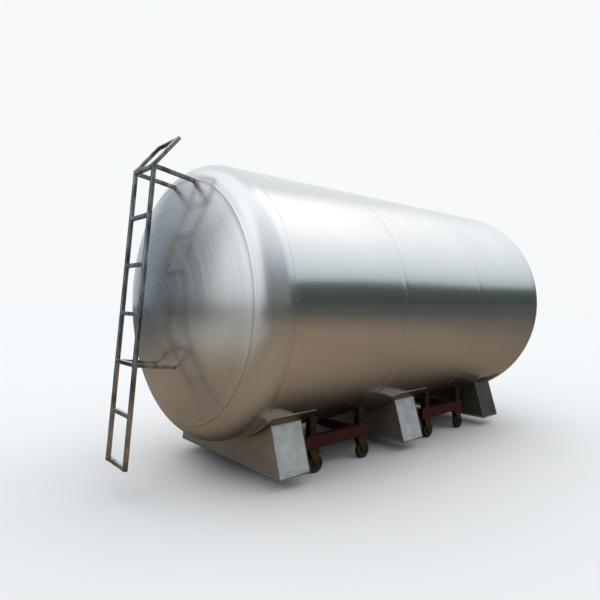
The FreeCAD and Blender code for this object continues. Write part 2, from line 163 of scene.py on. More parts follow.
floor_finish = bpy.data.materials.new("pale floor")
floor_finish.use_nodes = True
floor_nodes, floor_links = floor_finish.node_tree.nodes, floor_finish.node_tree.links
floor_shader = floor_nodes["Principled BSDF"]
floor_shader.inputs["Roughness"].default_value = 0.95
floor_shader.inputs["Specular IOR Level"].default_value = 0.2
floor_place = floor_nodes.new("ShaderNodeTexCoord")
floor_split = floor_nodes.new("ShaderNodeSeparateXYZ")
floor_links.new(floor_place.outputs["Object"], floor_split.inputs["Vector"])
along, across = floor_split.outputs["X"], floor_split.outputs["Y"]
floor_grain = floor_nodes.new("ShaderNodeTexNoise")
floor_grain.inputs["Scale"].default_value = 1.5
floor_tone = mixed(
    floor_nodes, floor_links, floor_grain.outputs["Fac"], (0.86, 0.86, 0.86), (0.90, 0.90, 0.90)
)
yard_middle = floor_nodes.new("ShaderNodeMapping")
yard_middle.inputs["Location"].default_value = (1.5, 1.5, 0)
floor_links.new(floor_place.outputs["Object"], yard_middle.inputs["Vector"])
reach = floor_nodes.new("ShaderNodeVectorMath")
reach.operation = "LENGTH"
floor_links.new(yard_middle.outputs["Vector"], reach.inputs[0])
yard_tones = [
    (1.0, (0.36, 0.265, 0.185)),
    (2.2, (0.30, 0.22, 0.155)),
    (3.5, (0.285, 0.21, 0.148)),
    (6.5, (0.17, 0.137, 0.105)),
    (11.0, (0.095, 0.085, 0.075)),
    (18.0, (0.062, 0.063, 0.06)),
    (30.0, (0.06, 0.065, 0.06)),
]
yard_edge = 30.0
yard = tone_scale(floor_nodes, floor_links, reach.outputs["Value"], 0.0, yard_edge, yard_tones)
lane = floor_patch([(-3.5, -6.0)], [(-6.5, -2.5), (6.0, 2.5)])
# Painted shadow: where the floor the camera sees lies under the tank.
painted_shadow_patch = floor_patch([(-1.75, -1.0), (2.2, 1.6)], [(-0.5, 0.1), (1.0, 0.4)])
# Painted shade: where the ground the steel mirrors lies under the tank.
painted_shade_patch = floor_patch([(-2.1, -1.3), (2.7, 2.0)], [(-1.3, -0.5), (1.3, 0.5)])
yard = mixed(floor_nodes, floor_links, lane, yard, (0.44, 0.41, 0.36))
# Painted shade: the mirrored ground under the tank is darkened to near black brown.
yard = mixed(floor_nodes, floor_links, painted_shade_patch, yard, (0.08, 0.066, 0.05))
# Painted shadow: the pale floor the camera sees turns dark grey under the tank.
pale = mixed(floor_nodes, floor_links, painted_shadow_patch, floor_tone, (0.16, 0.15, 0.14))
floor_sight = floor_nodes.new("ShaderNodeLightPath")
ground = mixed(floor_nodes, floor_links, floor_sight.outputs["Is Camera Ray"], yard, pale)
floor_links.new(ground, floor_shader.inputs["Base Color"])
floor.data.materials.append(floor_finish)

world = bpy.data.worlds.new("soft studio")
bpy.context.scene.world = world
world.use_nodes = True
sky = world.node_tree
direction = sky.nodes.new("ShaderNodeTexCoord")
heights = sky.nodes.new("ShaderNodeSeparateXYZ")
sky.links.new(direction.outputs["Generated"], heights.inputs["Vector"])
level = sky.nodes.new("ShaderNodeCombineXYZ")
sky.links.new(heights.outputs["X"], level.inputs["X"])
sky.links.new(heights.outputs["Y"], level.inputs["Y"])
bearing = sky.nodes.new("ShaderNodeVectorMath")
bearing.operation = "NORMALIZE"
sky.links.new(level.outputs["Vector"], bearing.inputs[0])
bearings = sky.nodes.new("ShaderNodeSeparateXYZ")
sky.links.new(bearing.outputs["Vector"], bearings.inputs["Vector"])

rearward, farward = bearings.outputs["X"], bearings.outputs["Y"]
height = heights.outputs["Z"]
tree_drop = 0.115
lowered = share(sky.nodes, sky.links, rearward, 0.76, 0.96)
lower_trees = worked_out(sky.nodes, sky.links, "MULTIPLY_ADD", lowered, tree_drop, height)
beside_tones = [
    (-0.30, (0.24, 0.18, 0.13)),
    (-0.06, (0.12, 0.11, 0.10)),
    (-0.03, (0.055, 0.06, 0.06)),
    (0.16, (0.075, 0.097, 0.093)),
    (0.215, (0.11, 0.145, 0.145)),
    (0.275, (0.60, 0.68, 0.72)),
    (0.40, (0.84, 0.93, 0.99)),
    (0.60, (1.12, 1.17, 1.22)),
    (0.80, (1.44, 1.45, 1.47)),
    (1.0, (1.60, 1.60, 1.60)),
]
behind_tones = [
    (-0.40, (0.24, 0.19, 0.13)),
    (-0.12, (0.20, 0.18, 0.15)),
    (-0.04, (0.13, 0.14, 0.14)),
    (0.10, (0.125, 0.15, 0.165)),
    (0.30, (0.22, 0.235, 0.24)),
    (0.48, (0.42, 0.45, 0.48)),
    (0.62, (1.10, 1.13, 1.16)),
    (1.0, (1.45, 1.45, 1.46)),
]
ahead_tones = [
    (-0.50, (0.30, 0.25, 0.20)),
    (-0.20, (0.54, 0.52, 0.48)),
    (-0.05, (0.64, 0.65, 0.65)),
    (0.05, (0.88, 0.93, 0.96)),
    (0.30, (1.16, 1.21, 1.25)),
    (0.60, (1.36, 1.40, 1.43)),
    (1.0, (1.45, 1.45, 1.46)),
]
corner_tones = [
    (-0.30, (0.30, 0.27, 0.22)),
    (-0.10, (0.24, 0.23, 0.21)),
    (0.04, (0.20, 0.205, 0.20)),
    (0.20, (0.24, 0.26, 0.27)),
    (0.34, (0.33, 0.37, 0.40)),
    (0.46, (0.52, 0.57, 0.62)),
    (0.57, (0.70, 0.76, 0.79)),
    (0.68, (0.88, 0.93, 0.96)),
    (0.80, (1.00, 1.04, 1.07)),
    (1.0, (1.35, 1.36, 1.38)),
]
blue_tones = [
    (-0.20, (0.20, 0.23, 0.27)),
    (0.05, (0.26, 0.33, 0.42)),
    (0.30, (0.30, 0.35, 0.41)),
    (0.48, (0.48, 0.53, 0.58)),
    (0.62, (1.10, 1.13, 1.16)),
    (1.0, (1.45, 1.45, 1.46)),
]


def sky_band(tones, rise=height):
    """Light by height, from straight down at -1 to straight up at 1."""
    return tone_scale(sky.nodes, sky.links, rise, -1.0, 1.0, tones)


def sky_turn(first, second, value, low, high):
    """One part of the sky passing into another as a bearing goes from low to high."""
    passed = share(sky.nodes, sky.links, value, low, high)
    return mixed(sky.nodes, sky.links, passed, first, second)


beside = sky_band(beside_tones, lower_trees)
ahead = sky_band(ahead_tones)
near_view = sky_turn(beside, sky_band(corner_tones), rearward, 0.58, 0.42)
near_view = sky_turn(near_view, ahead, rearward, -0.80, -1.0)
far_view = sky_turn(sky_band(blue_tones), sky_band(behind_tones), rearward, -0.34, -0.44)
far_view = sky_turn(far_view, ahead, rearward, -0.86, -0.97)
far_view = sky_turn(far_view, (0.95, 0.98, 1.01), rearward, -0.10, 0.20)
surroundings = sky_turn(near_view, far_view, farward, 0.15, 0.50)
backdrop = (0.93, 0.95, 0.96)
sight = sky.nodes.new("ShaderNodeLightPath")
seen = mixed(sky.nodes, sky.links, sight.outputs["Is Camera Ray"], surroundings, backdrop)
sky.links.new(seen, sky.nodes["Background"].inputs["Color"])


# ---- Shell courses
# Three sheets of stainless steel, rolled into cylinders and butt welded end to end. The rolls have
# brushed them round and round, and each weld has drawn its seam in by two millimetres.
ring_steps = 192
sheet_thickness = 0.004


def ring_surface(name, rings):
    """A surface of revolution about the tank's axis: each ring is a place along it and a radius."""
    bpy.ops.object.select_all(action="DESELECT")
    place, radius = rings[0]
    bpy.ops.mesh.primitive_circle_add(
        vertices=ring_steps, radius=radius,
        location=(place, 0, axis_height), rotation=(0, math.pi / 2, 0),
    )
    piece = bpy.context.object
    piece.name = name
    bpy.ops.object.transform_apply(location=True, rotation=True, scale=True)
    bpy.ops.object.mode_set(mode="EDIT")
    bpy.ops.mesh.select_all(action="SELECT")
    for further, wider in rings[1:]:
        onward = (further - place, 0, 0)
        bpy.ops.mesh.extrude_region_move(TRANSFORM_OT_translate={"value": onward})
        ratio = wider / radius
        centre = (further, 0, axis_height)
        bpy.ops.transform.resize(value=(1, ratio, ratio), center_override=centre)
        place, radius = further, wider
    return piece


def finish_sheet(piece):
    """Turn the surface outwards, give it its thickness inwards and shade it smooth."""
    bpy.ops.mesh.select_all(action="SELECT")
    bpy.ops.mesh.normals_make_consistent(inside=False)
    bpy.ops.object.mode_set(mode="OBJECT")
    wall = piece.modifiers.new("wall", "SOLIDIFY")
    wall.thickness = sheet_thickness
    wall.offset = -1
    bpy.ops.object.modifier_apply(modifier=wall.name)
    bpy.ops.object.shade_smooth_by_angle(angle=math.radians(35))


seam_draw = 0.002
seam_spread = 0.026


def course_rings(start, end):
    """Rings close together near both seams, where the weld has drawn the sheet in."""
    inset = [0.0, 0.008, 0.018, 0.03, 0.045, 0.065, 0.1]
    middle = [0.25, 0.4, 0.5, 0.6, 0.75]
    length = end - start
    places = [start + step for step in inset]
    places += [start + part * length for part in middle]
    places += [end - step for step in reversed(inset)]
    rings = []
    for place in places:
        gap = min(place - start, end - place)
        drawn_in = seam_draw * math.exp(-((gap / seam_spread) ** 2))
        rings.append((place, shell_radius - drawn_in))
    return rings


course_length = (rear_seam - front_seam) / 3
courses = []
for number, label in enumerate(("front", "middle", "rear")):
    start = front_seam + number * course_length
    course = ring_surface(f"{label}_course_sheet", course_rings(start, start + course_length))
    finish_sheet(course)
    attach(course, "tank")
    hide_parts(f"{label}_course")
    courses.append(course)

# The bead of each seam, ground almost flush: steps along the tank and heights over the seam.
seam_profile = [
    (-0.005, -0.001), (-0.0035, 0.0001), (-0.0015, 0.0004),
    (0.0015, 0.0004), (0.0035, 0.0001), (0.005, -0.001),
]
seam_beads = []
for number in range(4):
    place = front_seam + number * course_length
    radius = shell_radius - seam_draw
    rings = [(place + step, radius + height) for step, height in seam_profile]
    bead = ring_surface(f"seam_{number + 1}_bead", rings)
    finish_sheet(bead)
    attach(bead, "tank")
    seam_beads.append(bead)


# ---- Heads
# Each is stainless steel pressed into a shallow dish and flanged at its rim, with a circular weld
# just inside its knuckle. It is polished on a turntable, which leaves rings.
head_low, head_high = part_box("front_head")
head_depth = head_high.x - head_low.x
crown_radius = 2.2
knuckle_radius = 0.22
crown_sine = (shell_radius - knuckle_radius) / (crown_radius - knuckle_radius)
crown_turn = math.asin(crown_sine)
flange = head_depth - crown_radius + (crown_radius - knuckle_radius) * math.cos(crown_turn)
ring_weld_radius = 0.955
ring_weld_height = 0.0016
ring_weld_width = 0.006


def head_rings():
    """Rings from the seam out to the middle of the dish, as distance from the seam and radius."""
    rings = [
        (0.0, shell_radius - seam_draw),
        (0.012, shell_radius - seam_draw / 2),
        (flange, shell_radius),
    ]
    knuckle_steps = 22
    for step in range(1, knuckle_steps + 1):
        angle = math.pi / 2 - (math.pi / 2 - crown_turn) * step / knuckle_steps
        out = flange + knuckle_radius * math.cos(angle)
        rings.append((out, shell_radius - knuckle_radius + knuckle_radius * math.sin(angle)))
    crown_centre = head_depth - crown_radius
    by_weld = [ring_weld_radius + offset for offset in (0.008, 0.004, 0.0, -0.004, -0.008, -0.03)]
    inwards = (0.08, 0.16, 0.26, 0.38, 0.5, 0.62, 0.74, 0.86, 0.95, 0.99)
    for radius in by_weld + [ring_weld_radius * (1 - part) for part in inwards]:
        spread = (radius - ring_weld_radius) / ring_weld_width
        bead = ring_weld_height * math.exp(-(spread ** 2))
        angle = math.asin(radius / crown_radius)
        rings.append((crown_centre + (crown_radius + bead) * math.cos(angle), radius))
    return rings


heads = []
for label, seam, way in (("front", front_seam, -1), ("rear", rear_seam, 1)):
    rings = [(seam + way * out, radius) for out, radius in head_rings()]
    head = ring_surface(f"{label}_head_dish", rings)
    bpy.ops.mesh.merge(type="CENTER")
    finish_sheet(head)
    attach(head, "tank")
    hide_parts(f"{label}_head")
    heads.append(head)


def tank_places():
    """A node group: a point's place along the tank, its radius and its angle round the axis."""
    group = bpy.data.node_groups.new("tank places", "ShaderNodeTree")
    for name in ("Along", "Radius", "Angle"):
        group.interface.new_socket(name, in_out="OUTPUT", socket_type="NodeSocketFloat")
    nodes, links = group.nodes, group.links
    place = nodes.new("ShaderNodeTexCoord")
    centred = nodes.new("ShaderNodeMapping")
    centred.inputs["Location"].default_value = (0, 0, -axis_height)
    links.new(place.outputs["Object"], centred.inputs["Vector"])
    split = nodes.new("ShaderNodeSeparateXYZ")
    links.new(centred.outputs["Vector"], split.inputs["Vector"])
    flat = nodes.new("ShaderNodeCombineXYZ")
    links.new(split.outputs["Y"], flat.inputs["Y"])
    links.new(split.outputs["Z"], flat.inputs["Z"])
    length = nodes.new("ShaderNodeVectorMath")
    length.operation = "LENGTH"
    links.new(flat.outputs["Vector"], length.inputs[0])
    angle = worked_out(nodes, links, "ARCTAN2", split.outputs["Y"], split.outputs["Z"])
    out = nodes.new("NodeGroupOutput")
    links.new(split.outputs["X"], out.inputs["Along"])
    links.new(length.outputs["Value"], out.inputs["Radius"])
    links.new(angle, out.inputs["Angle"])
    return group


def brushed_lines():
    """A node group of long fine scratches: Across is measured over them and Along with them."""
    group = bpy.data.node_groups.new("brushed lines", "ShaderNodeTree")
    for name in ("Across", "Along", "Fineness", "Length"):
        group.interface.new_socket(name, in_out="INPUT", socket_type="NodeSocketFloat")
    group.interface.new_socket("Lines", in_out="OUTPUT", socket_type="NodeSocketFloat")
    nodes, links = group.nodes, group.links
    given = nodes.new("NodeGroupInput")
    point = nodes.new("ShaderNodeCombineXYZ")
    for axis, value, scale in (("X", "Across", "Fineness"), ("Y", "Along", "Length")):
        scaled = worked_out(nodes, links, "MULTIPLY", given.outputs[value], given.outputs[scale])
        links.new(scaled, point.inputs[axis])
    grain = nodes.new("ShaderNodeTexNoise")
    grain.inputs["Scale"].default_value = 1
    grain.inputs["Detail"].default_value = 3
    links.new(point.outputs["Vector"], grain.inputs["Vector"])
    out = nodes.new("NodeGroupOutput")
    links.new(grain.outputs["Fac"], out.inputs["Lines"])
    return group


places_group = tank_places()
lines_group = brushed_lines()


def new_finish(name, metallic):
    """A material with its own shader; returns the material, its nodes, its links and the shader."""
    finish = bpy.data.materials.new(name)
    finish.use_nodes = True
    shader = finish.node_tree.nodes["Principled BSDF"]
    shader.inputs["Metallic"].default_value = metallic
    return finish, finish.node_tree.nodes, finish.node_tree.links, shader


def add_group(nodes, group, **values):
    """Place a node group in a material and set its inputs."""
    node = nodes.new("ShaderNodeGroup")
    node.node_tree = group
    for name, value in values.items():
        node.inputs[name].default_value = value
    return node


def ranged(nodes, links, value, low, high, from_low=0.0, from_high=1.0):
    """A value moved from one range to another."""
    node = nodes.new("ShaderNodeMapRange")
    node.inputs["From Min"].default_value = from_low
    node.inputs["From Max"].default_value = from_high
    node.inputs["To Min"].default_value = low
    node.inputs["To Max"].default_value = high
    links.new(value, node.inputs["Value"])
    return node.outputs["Result"]


def noise(nodes, links, scale, detail, roughness=0.5, stretch=None):
    """A noise over the piece's own coordinates, finer along some axes if a stretch is given."""
    place = nodes.new("ShaderNodeTexCoord")
    node = nodes.new("ShaderNodeTexNoise")
    node.inputs["Scale"].default_value = scale
    node.inputs["Detail"].default_value = detail
    node.inputs["Roughness"].default_value = roughness
    point = place.outputs["Object"]
    if stretch is not None:
        scaled = nodes.new("ShaderNodeMapping")
        scaled.inputs["Scale"].default_value = stretch
        links.new(point, scaled.inputs["Vector"])
        point = scaled.outputs["Vector"]
    links.new(point, node.inputs["Vector"])
    return node.outputs["Fac"]


def bump(nodes, links, height, distance, strength=1.0, under=None):
    """A bump of a real height in metres, on top of another if one is given."""
    node = nodes.new("ShaderNodeBump")
    node.inputs["Strength"].default_value = strength
    node.inputs["Distance"].default_value = distance
    links.new(height, node.inputs["Height"])
    if under is not None:
        links.new(under, node.inputs["Normal"])
    return node.outputs["Normal"]


def around_tank(nodes, links, shader):
    """Stretch the gloss across brush lines that run round the tank's axis."""
    way = nodes.new("ShaderNodeTangent")
    way.direction_type = "RADIAL"
    way.axis = "X"
    links.new(way.outputs["Tangent"], shader.inputs["Tangent"])
    shader.inputs["Anisotropic Rotation"].default_value = 0.25


def shell_finish():
    """Rolled stainless sheet: brushed round the tank, gently wavy, a little cloudy."""
    finish, nodes, links, shader = new_finish("brushed shell steel", 1.0)
    places = add_group(nodes, places_group)
    lines = add_group(nodes, lines_group, Fineness=120.0, Length=0.7)
    links.new(places.outputs["Along"], lines.inputs["Across"])
    links.new(places.outputs["Angle"], lines.inputs["Along"])
    clouds = noise(nodes, links, 1.4, 3.0)
    tones = mixed(nodes, links, clouds, (0.62, 0.62, 0.61), (0.74, 0.74, 0.73))
    links.new(tones, shader.inputs["Base Color"])
    gloss = ranged(nodes, links, lines.outputs["Lines"], 0.12, 0.26, 0.3, 0.7)
    links.new(gloss, shader.inputs["Roughness"])
    shader.inputs["Anisotropic"].default_value = 0.75
    around_tank(nodes, links, shader)
    waves = bump(nodes, links, noise(nodes, links, 0.9, 1.0), 0.006)
    relief = bump(nodes, links, lines.outputs["Lines"], 0.00012, 0.6, waves)
    links.new(relief, shader.inputs["Normal"])
    return finish


def head_metal():
    """Pressed stainless dish, polished in rings about its middle, with a dark line at its weld."""
    finish, nodes, links, shader = new_finish("ring polished head steel", 1.0)
    places = add_group(nodes, places_group)
    lines = add_group(nodes, lines_group, Fineness=90.0, Length=0.6)
    links.new(places.outputs["Radius"], lines.inputs["Across"])
    links.new(places.outputs["Angle"], lines.inputs["Along"])
    broad = add_group(nodes, lines_group, Fineness=9.0, Length=0.35)
    links.new(places.outputs["Radius"], broad.inputs["Across"])
    links.new(places.outputs["Angle"], broad.inputs["Along"])
    tones = mixed(nodes, links, broad.outputs["Lines"], (0.56, 0.58, 0.60), (0.78, 0.78, 0.77))
    offset = worked_out(nodes, links, "SUBTRACT", places.outputs["Radius"], ring_weld_radius)
    gap = worked_out(nodes, links, "ABSOLUTE", offset)
    clear = ranged(nodes, links, gap, 0.0, 1.0, 0.0015, 0.004)
    links.new(mixed(nodes, links, clear, (0.40, 0.39, 0.38), tones), shader.inputs["Base Color"])
    gloss = ranged(nodes, links, lines.outputs["Lines"], 0.23, 0.31, 0.3, 0.7)
    links.new(gloss, shader.inputs["Roughness"])
    shader.inputs["Anisotropic"].default_value = 0.55
    around_tank(nodes, links, shader)
    waves = bump(nodes, links, noise(nodes, links, 1.3, 1.0), 0.004)
    rings = bump(nodes, links, broad.outputs["Lines"], 0.0001, 0.7, waves)
    relief = bump(nodes, links, lines.outputs["Lines"], 0.00002, 0.6, rings)
    links.new(relief, shader.inputs["Normal"])
    return finish


def seam_finish():
    """A dressed weld: duller and darker than the sheet, and finely rippled along its length."""
    finish, nodes, links, shader = new_finish("dressed seam", 1.0)
    places = add_group(nodes, places_group)
    ripples = add_group(nodes, lines_group, Fineness=60.0, Length=90.0)
    links.new(places.outputs["Along"], ripples.inputs["Across"])
    links.new(places.outputs["Angle"], ripples.inputs["Along"])
    tones = mixed(nodes, links, ripples.outputs["Lines"], (0.46, 0.46, 0.45), (0.66, 0.66, 0.65))
    links.new(tones, shader.inputs["Base Color"])
    gloss = ranged(nodes, links, ripples.outputs["Lines"], 0.20, 0.32)
    links.new(gloss, shader.inputs["Roughness"])
    links.new(bump(nodes, links, ripples.outputs["Lines"], 0.0004), shader.inputs["Normal"])
    return finish


shell_steel = shell_finish()
for course in courses:
    course.data.materials.append(shell_steel)
seam_steel = seam_finish()
for bead in seam_beads:
    bead.data.materials.append(seam_steel)
head_steel = head_metal()
for head in heads:
    head.data.materials.append(head_steel)


# ---- Saddles
# Boxes of stainless plate welded under the shell, with a thin wear plate between each box and the
# shell and a thicker base plate below. The plate has a dull mill finish, with beads at its edges.
def flatten_faces(piece):
    """Smooth the small rounded edges and leave the large faces flat."""
    bpy.ops.object.shade_smooth_by_angle(angle=math.radians(35))
    weights = piece.modifiers.new("weights", "WEIGHTED_NORMAL")
    weights.weight = 100
    weights.keep_sharp = True
    bpy.ops.object.modifier_apply(modifier=weights.name)


def carried_over(label, name, edge=0.0):
    """A new piece with a node's shape, its triangles joined and its edges rounded a little."""
    bpy.ops.object.select_all(action="DESELECT")
    piece = bpy.data.objects.new(name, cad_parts[label].data.copy())
    bpy.context.scene.collection.objects.link(piece)
    bpy.context.view_layer.objects.active = piece
    piece.select_set(True)
    piece.data.materials.clear()
    bpy.ops.object.mode_set(mode="EDIT")
    bpy.ops.mesh.select_all(action="SELECT")
    bpy.ops.mesh.remove_doubles(threshold=0.00001)
    bpy.ops.mesh.dissolve_limited(angle_limit=math.radians(0.5))
    bpy.ops.object.mode_set(mode="OBJECT")
    if edge:
        rounding = piece.modifiers.new("rounding", "BEVEL")
        rounding.width = edge
        rounding.segments = 2
        rounding.limit_method = "ANGLE"
        rounding.angle_limit = math.radians(40)
        bpy.ops.object.modifier_apply(modifier=rounding.name)
    flatten_faces(piece)
    return piece


def bead_lines(name, runs, thickness):
    """Weld beads laid along runs of points; a run whose last point is its first is closed."""
    curve = bpy.data.curves.new(name, "CURVE")
    curve.dimensions = "3D"
    curve.bevel_depth = thickness
    curve.bevel_resolution = 1
    curve.use_fill_caps = True
    for run in runs:
        closed = run[0] == run[-1]
        points = run[:-1] if closed else run
        spline = curve.splines.new("POLY")
        spline.points.add(len(points) - 1)
        for point, place in zip(spline.points, points):
            point.co = (*place, 1)
        spline.use_cyclic_u = closed
    bead = bpy.data.objects.new(name, curve)
    bpy.context.scene.collection.objects.link(bead)
    bpy.ops.object.select_all(action="DESELECT")
    bpy.context.view_layer.objects.active = bead
    bead.select_set(True)
    bpy.ops.object.convert(target="MESH")
    bpy.ops.object.shade_smooth()
    return bpy.context.object


def arc_points(x, radius, low_angle, high_angle):
    """Points on an arc round the tank's axis, with angles measured from straight down."""
    steps = 28
    points = []
    for step in range(steps + 1):
        angle = math.radians(low_angle + (high_angle - low_angle) * step / steps)
        points.append((x, radius * math.sin(angle), axis_height - radius * math.cos(angle)))
    return points


def square_run(low, high, flat):
    """The closed outline of a rectangle, flat at one height ("z") or at one place across ("y")."""
    corners = [(low.x, low.y, low.z), (high.x, low.y, low.z)]
    if flat == "z":
        corners += [(high.x, high.y, low.z), (low.x, high.y, low.z)]
    else:
        corners += [(high.x, low.y, high.z), (low.x, low.y, high.z)]
    return corners + corners[:1]


def plate_finish(name, dark, light, painted_side_lighting, roughness):
    """Dull mill plate: cloudy, streaked downwards, with painted light and shade in a tone of its
    own where it faces sideways.
    """
    finish, nodes, links, shader = new_finish(name, 1.0)
    streaks = noise(nodes, links, 1.0, 4.0, stretch=(26, 26, 2.2))
    place = nodes.new("ShaderNodeTexCoord")
    facing = nodes.new("ShaderNodeSeparateXYZ")
    links.new(place.outputs["Normal"], facing.inputs["Vector"])
    side = worked_out(nodes, links, "ABSOLUTE", facing.outputs["Y"])
    clouds = mixed(nodes, links, noise(nodes, links, 5.0, 6.0, 0.65), dark, light)
    mottling = ranged(nodes, links, noise(nodes, links, 11.0, 5.0, 0.6), 0.0, 1.0, 0.33, 0.62)
    # Painted light and shade: faces turned sideways take the mottled tone given for them.
    mottled_side_lighting = mixed(nodes, links, mottling, tuple(0.70 * tone for tone in painted_side_lighting), painted_side_lighting)
    sideways = ranged(nodes, links, side, 0.0, 0.75, 0.7, 0.9)
    links.new(mixed(nodes, links, sideways, clouds, mottled_side_lighting), shader.inputs["Base Color"])
    gloss = ranged(nodes, links, streaks, roughness - 0.06, roughness + 0.06, 0.3, 0.7)
    links.new(gloss, shader.inputs["Roughness"])
    links.new(bump(nodes, links, noise(nodes, links, 4.0, 3.0), 0.004), shader.inputs["Normal"])
    return finish


def bead_finish(name, dark, light):
    """Weld metal: rippled and clouded by its heat."""
    finish, nodes, links, shader = new_finish(name, 1.0)
    clouds = noise(nodes, links, 30.0, 4.0)
    links.new(mixed(nodes, links, clouds, dark, light), shader.inputs["Base Color"])
    links.new(ranged(nodes, links, clouds, 0.3, 0.5), shader.inputs["Roughness"])
    links.new(bump(nodes, links, noise(nodes, links, 160.0, 2.0), 0.001), shader.inputs["Normal"])
    return finish


# Painted reflection: the sideways faces of the front and middle saddles are a pale blue-white, for
# the sky they mirror.
saddle_steel = plate_finish(
    "saddle plate", (0.32, 0.285, 0.245), (0.52, 0.48, 0.43), (0.88, 0.94, 0.98), 0.58
)
# Painted shade: the rear saddle is a darker copy of the same plate, with near-black sideways faces.
rear_saddle_painted_shade_steel = plate_finish(
    "rear saddle plate with painted shade", (0.24, 0.22, 0.19), (0.40, 0.38, 0.35), (0.095, 0.10, 0.10), 0.45
)
wear_steel = plate_finish(
    "wear plate", (0.12, 0.10, 0.08), (0.25, 0.22, 0.18), (0.26, 0.24, 0.21), 0.42
)
bead_metal = bead_finish("weld bead", (0.16, 0.13, 0.11), (0.46, 0.43, 0.40))
bright_bead = bead_finish("bright weld bead", (0.42, 0.39, 0.36), (0.80, 0.78, 0.75))
plate_edge = 0.0025
wear_edge = 0.0015
wear_thickness = 0.006
edge_bead_lift = 0.002
plate_bead = 0.004
cradle_radius = shell_radius + wear_thickness
saddle_reach = 34.1
wear_reach = 41.0
for saddle in ("front_saddle", "middle_saddle", "rear_saddle"):
    steel = rear_saddle_painted_shade_steel if saddle == "rear_saddle" else saddle_steel
    for label, name, edge in (
        (saddle, "box", plate_edge),
        (f"{saddle}_base_plate", "foot_plate", plate_edge),
        (f"{saddle}_wear_plate", "pad_plate", wear_edge),
    ):
        plate = carried_over(label, f"{saddle}_{name}", edge)
        plate.data.materials.append(wear_steel if name == "pad_plate" else steel)
        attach(plate, "tank")
        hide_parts(label)
    low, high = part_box(saddle)
    top_y = cradle_radius * math.sin(math.radians(saddle_reach))
    top_z = axis_height - cradle_radius * math.cos(math.radians(saddle_reach))
    runs = [square_run(low, high, "z")]
    for x in (low.x, high.x):
        runs.append(arc_points(x, cradle_radius, -saddle_reach, saddle_reach))
        runs.append([(x, low.y, low.z), (x, -top_y, top_z)])
        runs.append([(x, high.y, low.z), (x, top_y, top_z)])
    runs.append([(low.x, -top_y, top_z), (high.x, -top_y, top_z)])
    runs.append([(low.x, top_y, top_z), (high.x, top_y, top_z)])
    wear_low, wear_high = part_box(f"{saddle}_wear_plate")
    bead_radius = shell_radius + edge_bead_lift
    round_plate = arc_points(wear_low.x, bead_radius, -wear_reach, wear_reach)
    round_plate += arc_points(wear_high.x, bead_radius, wear_reach, -wear_reach)
    edge_run = [round_plate + round_plate[:1]]
    for name, lines, metal in (("beads", runs, bead_metal), ("edge_bead", edge_run, bright_bead)):
        beads = bead_lines(f"{saddle}_{name}", lines, plate_bead)
        beads.data.materials.append(metal)
        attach(beads, "tank")


# ---- Ladder
# Square stainless tube with rounded corners, welded: two leaning rails, their crossbars, four
# brackets to the head and a loop to hold on to at the top. The ends by the head are heat stained.
tube_corner = 0.004
corner_distance = 0.0195
tube_bead = 0.0028
same_place = 0.0001


def rounded_tube(label, name):
    """A new piece with a tube's shape and its four long corners rounded."""
    piece = carried_over(label, name)
    mesh = piece.data
    spans = {}
    for edge in mesh.edges:
        first, second = (mesh.vertices[index].co for index in edge.vertices)
        spans[edge.index] = second - first
    longest = max(spans.values(), key=lambda span: span.length).normalized()
    middle = sum((vertex.co for vertex in mesh.vertices), Vector()) / len(mesh.vertices)
    bpy.ops.object.mode_set(mode="EDIT")
    bpy.ops.mesh.select_mode(type="EDGE")
    bpy.ops.mesh.select_all(action="DESELECT")
    bpy.ops.object.mode_set(mode="OBJECT")
    for edge in mesh.edges:
        centre = sum((mesh.vertices[index].co for index in edge.vertices), Vector()) / 2 - middle
        away = (centre - centre.dot(longest) * longest).length
        lengthwise = abs(spans[edge.index].normalized().dot(longest)) > 0.999
        edge.select = lengthwise and away > corner_distance
    bpy.ops.object.mode_set(mode="EDIT")
    bpy.ops.mesh.bevel(offset=tube_corner, segments=3, profile=0.5)
    bpy.ops.object.mode_set(mode="OBJECT")
    flatten_faces(piece)
    return piece


def tube_finish():
    """Bright drawn tube: nearly a mirror, smudged, browned by heat towards the head."""
    finish, nodes, links, shader = new_finish("bright ladder tube", 1.0)
    places = add_group(nodes, places_group)
    streaks = noise(nodes, links, 1.0, 4.0, stretch=(16, 16, 6))
    clouds = ranged(nodes, links, streaks, 0.0, 1.0, 0.35, 0.70)
    clean = mixed(nodes, links, clouds, (0.13, 0.135, 0.14), (0.60, 0.61, 0.62))
    away = worked_out(nodes, links, "SUBTRACT", stain_start, places.outputs["Along"])
    unstained = ranged(nodes, links, away, 0.15, 1.0, 0.0, stain_length)
    tones = mixed(nodes, links, unstained, (0.34, 0.22, 0.13), clean)
    links.new(tones, shader.inputs["Base Color"])
    gloss = ranged(nodes, links, noise(nodes, links, 22.0, 4.0), 0.06, 0.20, 0.3, 0.7)
    links.new(gloss, shader.inputs["Roughness"])
    links.new(bump(nodes, links, noise(nodes, links, 5.0, 1.0), 0.0012), shader.inputs["Normal"])
    return finish


